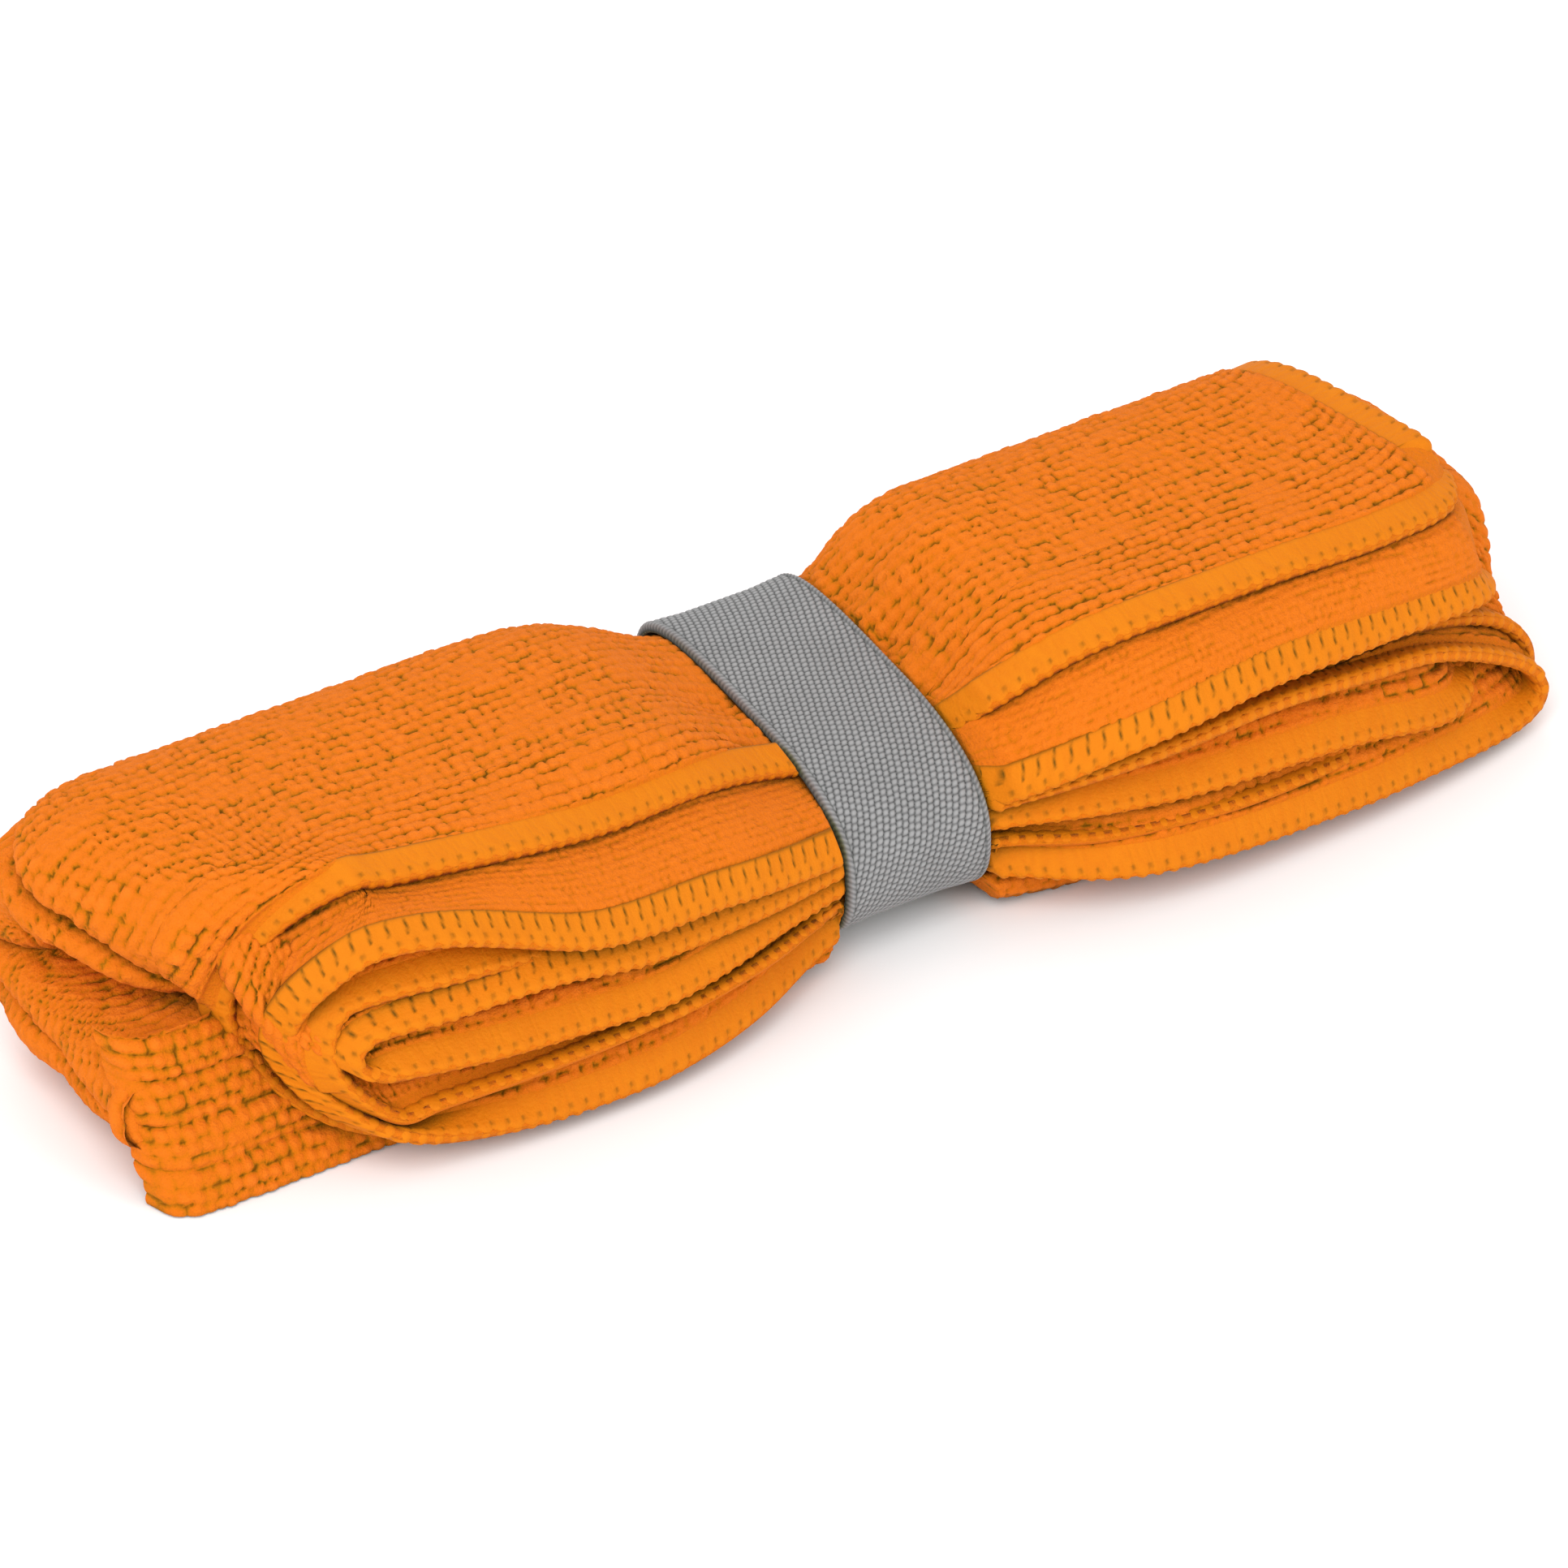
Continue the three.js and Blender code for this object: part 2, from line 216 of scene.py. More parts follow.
RUNS = {
    "T": [(121, 3.1), (-112, 3.1)],
    "L": turn(-112, 12.4, 20.4, 9.3, -1),
    "F": [(-112, 21.7), (112, 21.7)],
    "R": turn(112, 15.5, 16.5, -6.2, 1),
    "C": [(112, 9.3), (-112, 9.3)],
    "K": turn(-112, 12.4, 11, 3.1, -1),
    "E": [(-112, 15.5), (117, 15.5)],
}
PATH = np.array([point for run in RUNS.values() for point in run], float)
PATH_T = np.concatenate([[0], np.cumsum(np.hypot(*np.diff(PATH, axis=0).T))])
keep = np.concatenate([[True], np.diff(PATH_T) > 1e-6])
STARTS, passed = {}, 0
for name, run in RUNS.items():
    STARTS[name] = (PATH_T[passed], PATH_T[passed + len(run) - 1])
    passed += len(run)
PATH, PATH_T = PATH[keep], PATH_T[keep]
TOTAL = PATH_T[-1]


def along(run, value):
    """The path position of an x on a straight run, or of a fraction of a turn."""
    start, end = STARTS[run]
    if run in "LRK":
        return start + value * (end - start)
    first, last = RUNS[run][0][0], RUNS[run][-1][0]
    return start + (value - first) / (last - first) * (end - start)


def path(t, out):
    """x and depth at path positions t, moved out by out from the middle of the double strip."""
    x, w = np.interp(t, PATH_T, PATH[:, 0]), np.interp(t, PATH_T, PATH[:, 1])
    step = 0.8
    after, before = (
        np.stack([np.interp(at, PATH_T, PATH[:, k]) for k in (0, 1)], -1) for at in (t + step, t - step)
    )
    ahead = after - before
    ahead = unit(ahead)
    return x - ahead[:, 1] * -out * -1, w + ahead[:, 0] * out


# Hem lines: run, place on it, the edge's x, y, z, and the way that the cloth points there.
HEM_A = [
    ("T", 121, 124, -11, 43, .55, -.80, -.2), ("T", 117, 122.5, -18, 43.5, .3, -.92, -.25),
    ("T", 108, 110, -22.5, 45, 0, -.93, -.36), ("T", 80, 79.4, -25, 47.0, 0, -.93, -.36),
    ("T", 41, 41.2, -24, 46.0, 0, -.93, -.36), ("T", 24, 24, -18, 41.5, 0, -.93, -.36),
    ("T", 9.5, 9.5, -13, 36.3, 0, -.9, -.42), ("T", -8, -7.7, -12, 36.8, 0, -.9, -.42),
    ("T", -27, -27.3, -18, 40.6, 0, -.9, -.42), ("T", -47, -47.3, -22, 42.8, 0, -.9, -.42),
    ("T", -68, -67.6, -24, 46.5, 0, -.92, -.36), ("T", -90, -88.4, -22, 48, 0, -.92, -.36),
    ("L", .08, -98, -20, 47.8, .1, -.93, -.3), ("L", .25, -105, -17, 43.5, .3, -.9, -.25),
    ("L", .45, -110.5, -13.5, 35, .45, -.89, 0), ("L", .62, -114, -12, 26.8, .4, -.9, .1),
    ("L", .85, -111, -16, 17, .35, -.9, .2), ("F", -106, -104, -25, 9, .1, -.95, .2),
    ("F", -92, -92, -31, 4.4, 0, -.9, -.4), ("F", -60, -60, -33.5, 1.8, 0, -.9, -.4),
    ("F", -28, -28, -29, 2.6, 0, -.9, -.4), ("F", -8, -8, -22, 5.6, 0, -.9, -.4),
    ("F", 9.5, 9.5, -21, 5.8, 0, -.9, -.4), ("F", 25, 25, -22, 6.2, 0, -.9, -.4),
    ("F", 45, 45, -30, 4.4, 0, -.9, -.4), ("F", 80, 80, -33, 2.4, 0, -.9, -.4),
    ("F", 108, 108, -29, 1.8, 0, -.9, -.4), ("R", .2, 125, -26, 1.9, .2, -.9, -.3),
    ("R", .42, 133.6, -23, 5.5, .5, -.85, 0), ("R", .6, 134.3, -22, 12.5, .5, -.85, .1),
    ("R", .8, 127, -22.5, 20.5, .3, -.93, .1), ("C", 110, 111, -25.5, 26.5, 0, -.95, -.2),
    ("C", 90, 90, -28.5, 29, 0, -.95, -.25), ("C", 60, 60, -31, 31, 0, -.95, -.25),
    ("C", 34, 34, -27, 27, 0, -.9, -.4), ("C", 22, 22, -22, 23.5, 0, -.9, -.4),
    ("C", 9.5, 9.5, -21, 22, 0, -.9, -.4), ("C", -8, -7, -21.5, 22, 0, -.9, -.4),
    ("C", -28, -28, -28, 25.5, 0, -.85, -.5), ("C", -50, -50, -33, 29, 0, -.85, -.5),
    ("C", -68, -68, -34.5, 32.5, 0, -.85, -.5), ("C", -86, -85, -34.5, 34.5, 0, -.8, -.55),
    ("C", -100, -97, -31.5, 33.5, .25, -.85, -.4), ("K", .25, -103.5, -29, 28.5, .6, -.8, 0),
    ("K", .6, -104.5, -30, 21.5, .6, -.75, .2), ("K", .95, -98.5, -34, 14.5, .3, -.5, .75),
    ("E", -90, -88, -37, 13.8, .1, -.35, .9), ("E", -75, -75, -38.5, 14.8, 0, -.25, .97),
    ("E", -50, -50, -38.6, 15.8, 0, -.25, .97), ("E", -22, -22, -33.5, 16, 0, -.3, .95),
    ("E", -6, -6, -25.5, 14.6, 0, -.4, .9), ("E", 9.5, 9.5, -23.5, 14.5, 0, -.4, .9),
    ("E", 25, 25, -26, 16.2, 0, -.35, .93), ("E", 34, 34, -31.5, 15.8, 0, -.3, .95),
    ("E", 55, 55.5, -35.5, 14.3, 0, -.35, .93), ("E", 77, 77.3, -35.5, 13.4, 0, -.5, .86),
    ("E", 96, 97, -31, 11.5, 0, -.8, .6), ("E", 112, 112, -25, 10.5, .1, -.95, .2),
    ("E", 117, 117.5, -17, 12, .5, -.8, 0),
]
HEM_B = [
    ("T", 121, 127, -19, 25.5, .6, -.75, -.3), ("T", 117, 125, -24.5, 27, .3, -.75, -.6),
    ("T", 106, 112, -29.5, 30.5, 0, -.65, -.76), ("T", 95, 95.1, -33, 33, 0, -.62, -.78),
    ("T", 68, 67.6, -37, 35.6, 0, -.62, -.78), ("T", 54, 53.7, -38, 34.5, 0, -.6, -.8),
    ("T", 41, 41.4, -36, 31.7, 0, -.55, -.83), ("T", 32, 32.5, -33, 28.4, 0, -.45, -.88),
    ("T", 24, 24.2, -27, 23.6, 0, -.35, -.93), ("T", 9.5, 9.5, -25, 22.6, 0, -.3, -.95),
    ("T", -8, -7.7, -26.5, 23, 0, -.35, -.93), ("T", -21, -21.2, -31, 26.3, 0, -.45, -.88),
    ("T", -36, -35.7, -34, 29.5, 0, -.5, -.85), ("T", -50, -50.3, -37, 31.8, 0, -.55, -.83),
    ("T", -61, -60.5, -38, 33.8, 0, -.6, -.8), ("T", -76, -75.7, -37, 39.8, 0, -.72, -.7),
    ("T", -86, -85.7, -36, 43.4, 0, -.75, -.66), ("T", -96, -94.6, -34, 43.8, .15, -.75, -.62),
    ("L", .1, -103.4, -30, 38.6, .6, -.7, -.4), ("L", .3, -107.6, -26.5, 32.5, .75, -.65, -.1),
    ("L", .5, -108.6, -23.5, 25.5, .75, -.65, 0), ("L", .65, -107.8, -23.5, 20.6, .7, -.7, .1),
    ("L", .8, -105.2, -26.5, 17.2, .65, -.7, .15), ("F", -106, -101.5, -31.5, 13.2, .55, -.7, .3),
    ("F", -96, -96, -37, 9.4, .3, -.75, .2), ("F", -83, -82.7, -38.5, 5.4, .1, -.8, -.4),
    ("F", -65, -64.7, -39, 3.3, 0, -.65, -.76), ("F", -43, -43.2, -38, 3.4, 0, -.6, -.8),
    ("F", -27, -26.7, -34, 4.7, 0, -.6, -.8), ("F", -8, -8.2, -26, 7, 0, -.6, -.8),
    ("F", 9.5, 9.5, -24, 8, 0, -.6, -.8), ("F", 24, 24.5, -26, 8.9, 0, -.6, -.8),
    ("F", 34, 34.3, -33, 8.3, 0, -.6, -.8), ("F", 43, 42.9, -37, 7.9, 0, -.6, -.8),
    ("F", 60, 59.5, -39, 6.8, 0, -.6, -.8), ("F", 78, 77.6, -38, 5.5, 0, -.62, -.78),
    ("F", 92, 91.4, -37, 4.7, 0, -.65, -.76), ("F", 106, 105.7, -35, 4.0, 0, -.7, -.7),
    ("R", .1, 118.5, -32.5, 3.2, 0, -.8, -.6), ("R", .25, 126.5, -30.5, 2.9, .1, -.9, -.3),
    ("R", .4, 132.4, -28.5, 4.1, .2, -.97, 0), ("R", .55, 133.4, -27.5, 7.5, .15, -.98, .1),
    ("R", .7, 131, -27.5, 11.5, 0, -.98, .2), ("R", .86, 125.2, -28, 15.8, 0, -.96, .28),
    ("C", 110, 112.8, -30, 22.8, 0, -.94, .34), ("C", 95, 95.1, -33, 27.0, 0, -.94, .3),
    ("C", 68, 68.3, -36, 30.6, 0, -.94, .2), ("C", 55, 54.9, -36, 29.4, 0, -.94, 0),
    ("C", 33, 32.5, -32, 26.3, 0, -.9, -.3), ("C", 23, 23.9, -26, 21.9, 0, -.7, -.7),
    ("C", 9.5, 9.5, -24, 19.8, 0, -.6, -.8), ("C", -7, -6.9, -26, 19.8, 0, -.6, -.8),
    ("C", -21, -21.2, -31, 22.1, 0, -.6, -.8), ("C", -36, -35.7, -34, 23.7, 0, -.65, -.76),
    ("C", -50, -50.3, -37, 26.1, 0, -.65, -.76), ("C", -68, -66.8, -38, 29.6, 0, -.65, -.76),
    ("C", -78, -75.7, -37.3, 29.4, 0, -.65, -.76), ("C", -88, -87, -36, 28.6, .05, -.7, -.7),
    ("C", -100, -95, -34, 27.8, .3, -.75, -.5), ("K", .2, -100, -32.5, 25.8, .6, -.75, -.1),
    ("K", .5, -101.6, -32.5, 23.3, .7, -.7, 0), ("K", .8, -99, -34.5, 21.2, .5, -.8, -.1),
    ("E", -100, -94, -36.3, 20.4, .2, -.8, -.5), ("E", -87, -87.6, -37.4, 20, 0, -.75, -.66),
    ("E", -76, -76.3, -38.3, 19, 0, -.72, -.7), ("E", -61, -61.1, -39, 18.6, 0, -.72, -.7),
    ("E", -52, -51.6, -39, 17.8, 0, -.72, -.7), ("E", -38, -37.6, -37, 17.9, 0, -.72, -.7),
    ("E", -22, -21.8, -32, 18, 0, -.7, -.72), ("E", -6, -5.8, -26, 16.3, 0, -.7, -.72),
    ("E", 9.5, 9.5, -24, 16.6, 0, -.7, -.72), ("E", 25, 24.7, -26, 18.3, 0, -.7, -.72),
    ("E", 34, 33.8, -31, 19.2, 0, -.7, -.72), ("E", 55, 55.5, -35, 18.1, 0, -.7, -.72),
    ("E", 68, 68.3, -36, 18, 0, -.7, -.72), ("E", 94, 93.8, -35, 15.7, 0, -.72, -.7),
    ("E", 108, 110.9, -33, 11.8, .1, -.78, -.6), ("E", 114, 119, -29.5, 11.2, .35, -.8, -.45),
    ("E", 117, 121.5, -22, 13.8, .8, -.6, -.1),
]


# ---------------------------------------------------------------- terry pile
def pile(t, v, seed, scale=1.0):
    """Height of the pile at t along and v across the cloth; scale makes its loops smaller."""
    t, v = t / scale, v / scale
    sway = 0.35 * noise(t / 14, v / 9, seed + 1)
    rows = v / ROW + sway
    row = np.floor(rows)
    fv = rows - row
    loops = t / LOOP + chance(row, 7, seed) + 0.5 * noise(t / 6, row * 1.7, seed + 2)
    loop = np.floor(loops)
    ft = loops - loop
    cx = 0.5 + 0.3 * (chance(row, loop, seed + 3) - 0.5)
    cy = 0.5 + 0.26 * (chance(row, loop, seed + 4) - 0.5)
    tall = 0.72 + 0.28 * chance(row, loop, seed + 5)
    dome = 1 - np.abs((ft - cx) / 0.66) ** 2.2 - np.abs((fv - cy) / 0.56) ** 2.4
    height = np.sqrt(np.maximum(dome, 0)) * tall
    matted = smooth((noise(t / 8 + 3, v / 5, seed + 6) - 0.5) * 3.0)
    matted = matted * (0.25 + 0.75 * noise(t / 2.6, v / 1.6, seed + 8))
    height = height + (0.74 - height) * 0.85 * matted
    height = height + 0.16 * (noise(t / 0.7, v / 0.7, seed + 7) - 0.5)
    return np.clip(height, 0, 1)


# ---------------------------------------------------------------- meshes
class Sheets:
    """Grids of points gathered into one mesh, with named values at each point."""

    def __init__(self):
        self.points, self.faces, self.values, self.count = [], [], {}, 0

    def grid(self, points, closed=False, around=False, flip=False, **values):
        """Adds a grid; closed joins each row's ends, and around joins the last row to the first."""
        rows, columns = points.shape[:2]
        index = np.arange(rows * columns).reshape(rows, columns) + self.count
        wide = np.concatenate([index, index[:, :1]], axis=1) if closed else index
        wide = np.concatenate([wide, wide[:1]], axis=0) if around else wide
        faces = np.stack([wide[:-1, :-1], wide[:-1, 1:], wide[1:, 1:], wide[1:, :-1]], axis=-1).reshape(-1, 4)
        self.faces.append(faces[:, ::-1] if flip else faces)
        self.points.append(points.reshape(-1, 3))
        for name, value in values.items():
            self.values.setdefault(name, []).append(np.broadcast_to(value, (rows, columns)).reshape(-1))
        self.count += rows * columns
        return index

    def patch(self, faces):
        self.faces.append(np.asarray(faces))

    def build(self, name, material):
        points, faces = np.concatenate(self.points) * MM, np.concatenate(self.faces)
        mesh = bpy.data.meshes.new(name)
        mesh.vertices.add(len(points))
        mesh.vertices.foreach_set("co", points.astype(np.float32).ravel())
        mesh.loops.add(faces.size)
        mesh.loops.foreach_set("vertex_index", faces.astype(np.int32).ravel())
        mesh.polygons.add(len(faces))
        mesh.polygons.foreach_set("loop_start", np.arange(0, faces.size, 4, dtype=np.int32))
        mesh.update(calc_edges=True)
        for key, value in self.values.items():
            attribute = mesh.attributes.new(key, "FLOAT", "POINT")
            attribute.data.foreach_set("value", np.concatenate(value).astype(np.float32))
        mesh.shade_smooth()
        mesh.materials.append(material)
        piece = bpy.data.objects.new(name, mesh)
        bpy.context.scene.collection.objects.link(piece)
        return piece


def normals_of(points):
    """Unit normals of a grid: along its rows crossed with along its columns."""
    return unit(np.cross(np.gradient(points, axis=0), np.gradient(points, axis=1)))


def rim(index, other):
    """Faces that join two grids round their four sides."""
    faces = []
    sides = [(np.s_[0], False), (np.s_[-1], True), (np.s_[:, 0], True), (np.s_[:, -1], False)]
    for side, turn_over in sides:
        a, b = index[side], other[side]
        strip = np.stack([a[:-1], b[:-1], b[1:], a[1:]], axis=-1)
        faces.append(strip[:, ::-1] if turn_over else strip)
    return np.concatenate(faces)


# ---------------------------------------------------------------- materials
def linear(code):
    channels = [int(code[k : k + 2], 16) / 255 for k in (0, 2, 4)]
    return tuple(c / 12.92 if c <= 0.04045 else ((c + 0.055) / 1.055) ** 2.4 for c in channels) + (1.0,)


# Painted shade: how hollows darken the cloth, by how open the surface is, and the olive tint painted there.
PAINTED_SHADE_TINT = ((0.12, (0.3, 0.34, 0.08)), (0.4, (0.6, 0.76, 0.4)), (0.74, (1, 1, 1)))


class Nodes:
    """A material's node tree, with short calls for the nodes that the finishes share."""

    def __init__(self, name, roughness, sheen=0.0, sheen_tint="ffffff"):
        self.material = bpy.data.materials.new(name)
        self.material.use_nodes = True
        self.tree = self.material.node_tree
        self.shader = self.tree.nodes["Principled BSDF"]
        self.shader.inputs["Roughness"].default_value = roughness
        self.shader.inputs["Specular IOR Level"].default_value = 0.12
        self.shader.inputs["Sheen Weight"].default_value = sheen
        self.shader.inputs["Sheen Roughness"].default_value = 0.5
        self.shader.inputs["Sheen Tint"].default_value = linear(sheen_tint)

    def node(self, kind, **settings):
        made = self.tree.nodes.new(kind)
        for key, value in settings.items():
            setattr(made, key, value)
        return made

    def link(self, source, target):
        self.tree.links.new(source, target)

    def feed(self, made, inputs):
        for key, value in inputs.items():
            if isinstance(value, bpy.types.NodeSocket):
                self.link(value, made.inputs[key])
            else:
                made.inputs[key].default_value = value
        return made

    def value(self, name):
        return self.node("ShaderNodeAttribute", attribute_name=name).outputs["Fac"]

    def noise(self, scale, detail=2.0, roughness=0.5, stretch=None):
        where = self.node("ShaderNodeTexCoord").outputs["Object"]
        if stretch:
            mapping = self.feed(self.node("ShaderNodeMapping"), {"Vector": where, "Scale": stretch})
            where = mapping.outputs["Vector"]
        inputs = {"Vector": where, "Scale": scale, "Detail": detail, "Roughness": roughness}
        made = self.feed(self.node("ShaderNodeTexNoise"), inputs)
        return made.outputs["Fac"]

    def math(self, operation, a, b=0.0, c=0.0):
        made = self.node("ShaderNodeMath", operation=operation)
        return self.feed(made, {0: a, 1: b, 2: c}).outputs[0]

    def ramp(self, factor, stops):
        made = self.node("ShaderNodeValToRGB")
        ramp = made.color_ramp
        while len(ramp.elements) < len(stops):
            ramp.elements.new(0.5)
        for element, (place, code) in zip(ramp.elements, stops):
            element.position, element.color = place, linear(code) if isinstance(code, str) else code
        self.link(factor, made.inputs["Fac"])
        return made.outputs["Color"]

    def mix(self, factor, a, b, blend="MIX"):
        made = self.node("ShaderNodeMix", data_type="RGBA", blend_type=blend)
        return self.feed(made, {"Factor": factor, 6: a, 7: b}).outputs[2]

    def finish(self, colour, heights, deep=PAINTED_SHADE_TINT):
        """Sets the colour, with painted shade from ambient occlusion in hollows, and bumps from (height,
        distance in mm, strength).
        """
        # Painted shade: ambient occlusion darkens the colour towards olive in hollows and crevices.
        occlusion = self.node("ShaderNodeAmbientOcclusion", samples=6)
        occlusion.inputs["Distance"].default_value = 4 * MM
        shade_tint = self.ramp(occlusion.outputs["AO"], [(place, shade + (1,)) for place, shade in deep])
        colour = self.mix(1.0, colour, shade_tint, "MULTIPLY")
        self.link(colour, self.shader.inputs["Base Color"])
        last = None
        for height, distance, strength in heights:
            inputs = {"Height": height, "Distance": distance * MM, "Strength": strength}
            bump = self.feed(self.node("ShaderNodeBump"), inputs)
            if last:
                self.link(last, bump.inputs["Normal"])
            last = bump.outputs["Normal"]
        self.link(last, self.shader.inputs["Normal"])
        return self.material


def terry_material():
    n = Nodes("terry", 0.95, 0.08, "ffb070")
    height = n.value("pile")
    fibres = n.noise(1500, 3.0, 0.6)
    patches = n.noise(90, 2.0)
    level = n.math("ADD", height, n.math("MULTIPLY", n.math("SUBTRACT", fibres, 0.5), 0.5))
    # Painted shade: low pile, between the loops, is coloured dark olive brown, and high pile salmon orange.
    stops = [(0.0, "5c3f00"), (0.2, "946004"), (0.38, "c66c08"), (0.65, "d56c14"), (1.0, "df741e")]
    base = n.ramp(level, stops)
    colour = n.mix(n.math("MULTIPLY", patches, 0.4), base, linear("d66c04"))
    return n.finish(colour, [(fibres, 0.5, 0.9), (n.noise(420, 2.0), 0.8, 0.5)])


def thread_material():
    n = Nodes("overlock_thread", 0.7, 0.06, "ffb060")
    groove = n.value("groove")
    hatch = n.value("hatch")
    fibres = n.noise(1800, 2.0)
    patches = n.noise(160, 2.0)
    base = n.mix(patches, linear("cd6f05"), linear("d47907"))
    shade = n.mix(n.math("MULTIPLY", hatch, 0.35), base, linear("c96a06"))
    # Painted shade: the thread darkens to dark brown in its grooves, between the ladder stitches, at the
    # needle holes and along the hem's inner border.
    colour = n.mix(groove, shade, linear("5c4000"))
    return n.finish(colour, [(fibres, 0.25, 0.6), (hatch, -0.12, 0.7)])


def webbing_material():
    n = Nodes("elastic_webbing", 0.8, 0.2, "d0d0d0")
    groove = n.value("groove")
    fibres = n.noise(1900, 2.0)
    patches = n.noise(120, 2.0)
    base = n.mix(patches, linear("8c8c8c"), linear("9c9c9c"))
    # Painted shade: the webbing darkens to dark grey between its ribs and where its corded edges fall away.
    colour = n.mix(groove, base, linear("3c3c3c"))
    return n.finish(colour, [(fibres, 0.2, 0.5)])


def seam_material():
    n = Nodes("seam_thread", 0.7, 0.1, "c0c0c0")
    fibres = n.noise(2500, 2.0)
    return n.finish(n.mix(fibres, linear("6a6a6a"), linear("808080")), [(fibres, 0.15, 0.6)])


# ---------------------------------------------------------------- the cloth
cloth = Sheets()
HEM_WIDTH = 6.3
LAP_Z, LAP_HALF = 18.0, 8.0
SEED_B = 20
STATIONS = np.arange(0, TOTAL, FINE)


def bezier(start, start_way, end, end_way, count):
    """Points from start, leaving along start_way, to end, arriving along end_way; one curve per row."""
    u = np.linspace(0, 1, count)[None, :, None]
    a, b, c, d = (part[:, None] for part in (start, start + start_way, end - end_way, end))
    return (1 - u) ** 3 * a + 3 * (1 - u) ** 2 * u * b + 3 * (1 - u) * u**2 * c + u**3 * d


def margins(table, out, over=None):
    """The cloth's front margin along one long edge, from its root in the bundle to the edge.

    Where the margin over covers it, it follows that one to its edge first.
    """
    nodes = [along(row[0], row[1]) for row in table]
    hem = eased(hermite(nodes, [row[2:] for row in table], STATIONS), 4.0)
    edge, way = hem[:, :3], unit(hem[:, 3:])
    x, w = path(STATIONS, out)
    root, _ = strand(x, w, np.array([0.0]))
    root = settle(root, STATIONS)[:, 0]
    proud = np.maximum(edge[:, 2] - root[:, 2] + 0.4, 0) * (STATIONS < STARTS["L"][0])
    edge = edge - eased((proud * smooth(cinch_at(x) * 1.2))[:, None], 9.0) * np.array([[0.0, 0, 1]])
    gap = np.linalg.norm(edge - root, axis=1)[:, None]
    forward = np.array([[0.0, -1, 0]])
    last = way * np.clip(gap * 0.42, 4, 16) * np.where(way[:, 2:] > 0.5, 0.5, 1)
    curve = bezier(root, forward * gap * 0.38, edge, last, 60)
    if over is not None:
        lip, lead = over[:, -1], unit(over[:, -1] - over[:, -4])
        outward = unit(np.cross(np.gradient(lip, axis=0), lead))
        under = lip - outward * 2.9
        near, far = (np.linalg.norm(gone, axis=1)[:, None] for gone in (under - root, edge - under))
        back = bezier(root, forward * near * 0.35, under, lead * near * 0.35, 31)
        front = bezier(under, lead * far * 0.35, edge, way * far * 0.4, 30)
        followed = smooth((STARTS["F"][0] - 2 - STATIONS) / 14)[:, None, None]
        curve = curve + (np.concatenate([back[:, :-1], front], axis=1) - curve) * followed
    return curve


def stack(lower, lower_run, upper, upper_run, gap=2.5):
    """Pushes one run's margin down to lie under the margin above it."""
    start, end = (int(edge / FINE) + 1 for edge in STARTS[lower_run])
    xs, _ = path(STATIONS[start:end], 0)
    above = np.clip(along(upper_run, xs) / FINE, STARTS[upper_run][0] / FINE, STARTS[upper_run][1] / FINE)
    rows = np.clip(above.astype(int), 0, len(STATIONS) - 1)
    for k, row in zip(range(start, min(end, len(STATIONS))), rows):
        y, z = upper[row, ::-1, 1], upper[row, ::-1, 2]
        order = np.argsort(y)
        limit = np.interp(lower[k, :, 1], y[order], z[order]) - gap
        limit = limit + 1.6 * np.maximum(y.min() - lower[k, :, 1], 0)
        lower[k, :, 2] = -0.5 * np.logaddexp(-lower[k, :, 2] / 0.5, -limit / 0.5)


def spaced(curve):
    """A margin's points evenly spaced from its root to its edge, its length, and the spacing."""
    steps = np.linalg.norm(np.diff(curve, axis=1), axis=2)
    run = np.concatenate([np.zeros((len(curve), 1)), np.cumsum(steps, axis=1)], axis=1)
    count = int(np.ceil(np.percentile(run[:, -1], 90) / FINE))
    even = np.linspace(0, 1, count)
    points = np.empty((len(curve), count, 3))
    for k in range(len(curve)):
        for axis in range(3):
            points[k, :, axis] = np.interp(even * run[k, -1], run[k], curve[k, :, axis])
    return clear_of_band(points, 0.9), run[:, -1], even


def calm_ends(t):
    """0 under the edging at both ends of the cloth, and 1 on its pile."""
    return smooth((t - 5) / 1.2) * smooth((TOTAL - 5 - t) / 1.2)


def lay_margin(points, length, even, seed):
    """Both faces of a margin, with their pile, joined round the sides."""
    normals = normals_of(points)
    t = STATIONS[:, None]
    v = length[:, None] * (1 - even[None, :])
    calm = smooth((v - HEM_WIDTH * 0.8) / 1.2) * calm_ends(t)
    made = []
    for side in (1, -1):
        height = pile(np.broadcast_to(t, v.shape), v, seed + (0 if side > 0 else 40))
        if seed == SEED_B:
            flat = smooth((STARTS["L"][0] + 10 - t) / 12)
            small = pile(np.broadcast_to(t, v.shape), v, seed + 5, 0.66)
            height = height + (0.35 + 0.5 * small - height) * flat
        height = height * calm
        face = points + normals * side * (HALF_PLY * 0.9 + PILE * height)[..., None]
        face[..., 2] = np.maximum(face[..., 2], 0.2)
        shade = np.where(calm < 1, np.maximum(height, 0.5), height)
        made.append(cloth.grid(clear_of_band(face), flip=side < 0, pile=shade))
    cloth.patch(rim(made[0], made[1]))
    return normals


def lay_body(out, start, end, step, seed, lengths):
    """The cloth from its margin's root to the lower folds, between two path positions."""
    t = np.arange(start, end + step / 2, step)
    x, w = path(t, out)
    count = int(118 / step)
    even = np.linspace(0, 1, count)
    points, length = strand(x, w, even)
    points = settle(points, t)
    normals = normals_of(points)
    side = -1 if out > 0 else 1
    v = np.interp(t, STATIONS, lengths)[:, None] + length[:, None] * even[None, :]
    t2 = np.broadcast_to(t[:, None], v.shape)
    height = pile(t2, v, seed) * calm_ends(t2) if step == FINE else np.full(v.shape, 0.5)
    points = points + normals * (HALF_PLY * 0.9 + PILE * height)[..., None] * side
    points[..., 2] = np.maximum(points[..., 2], 0.05)
    cloth.grid(clear_of_band(points), flip=out > 0, pile=height)


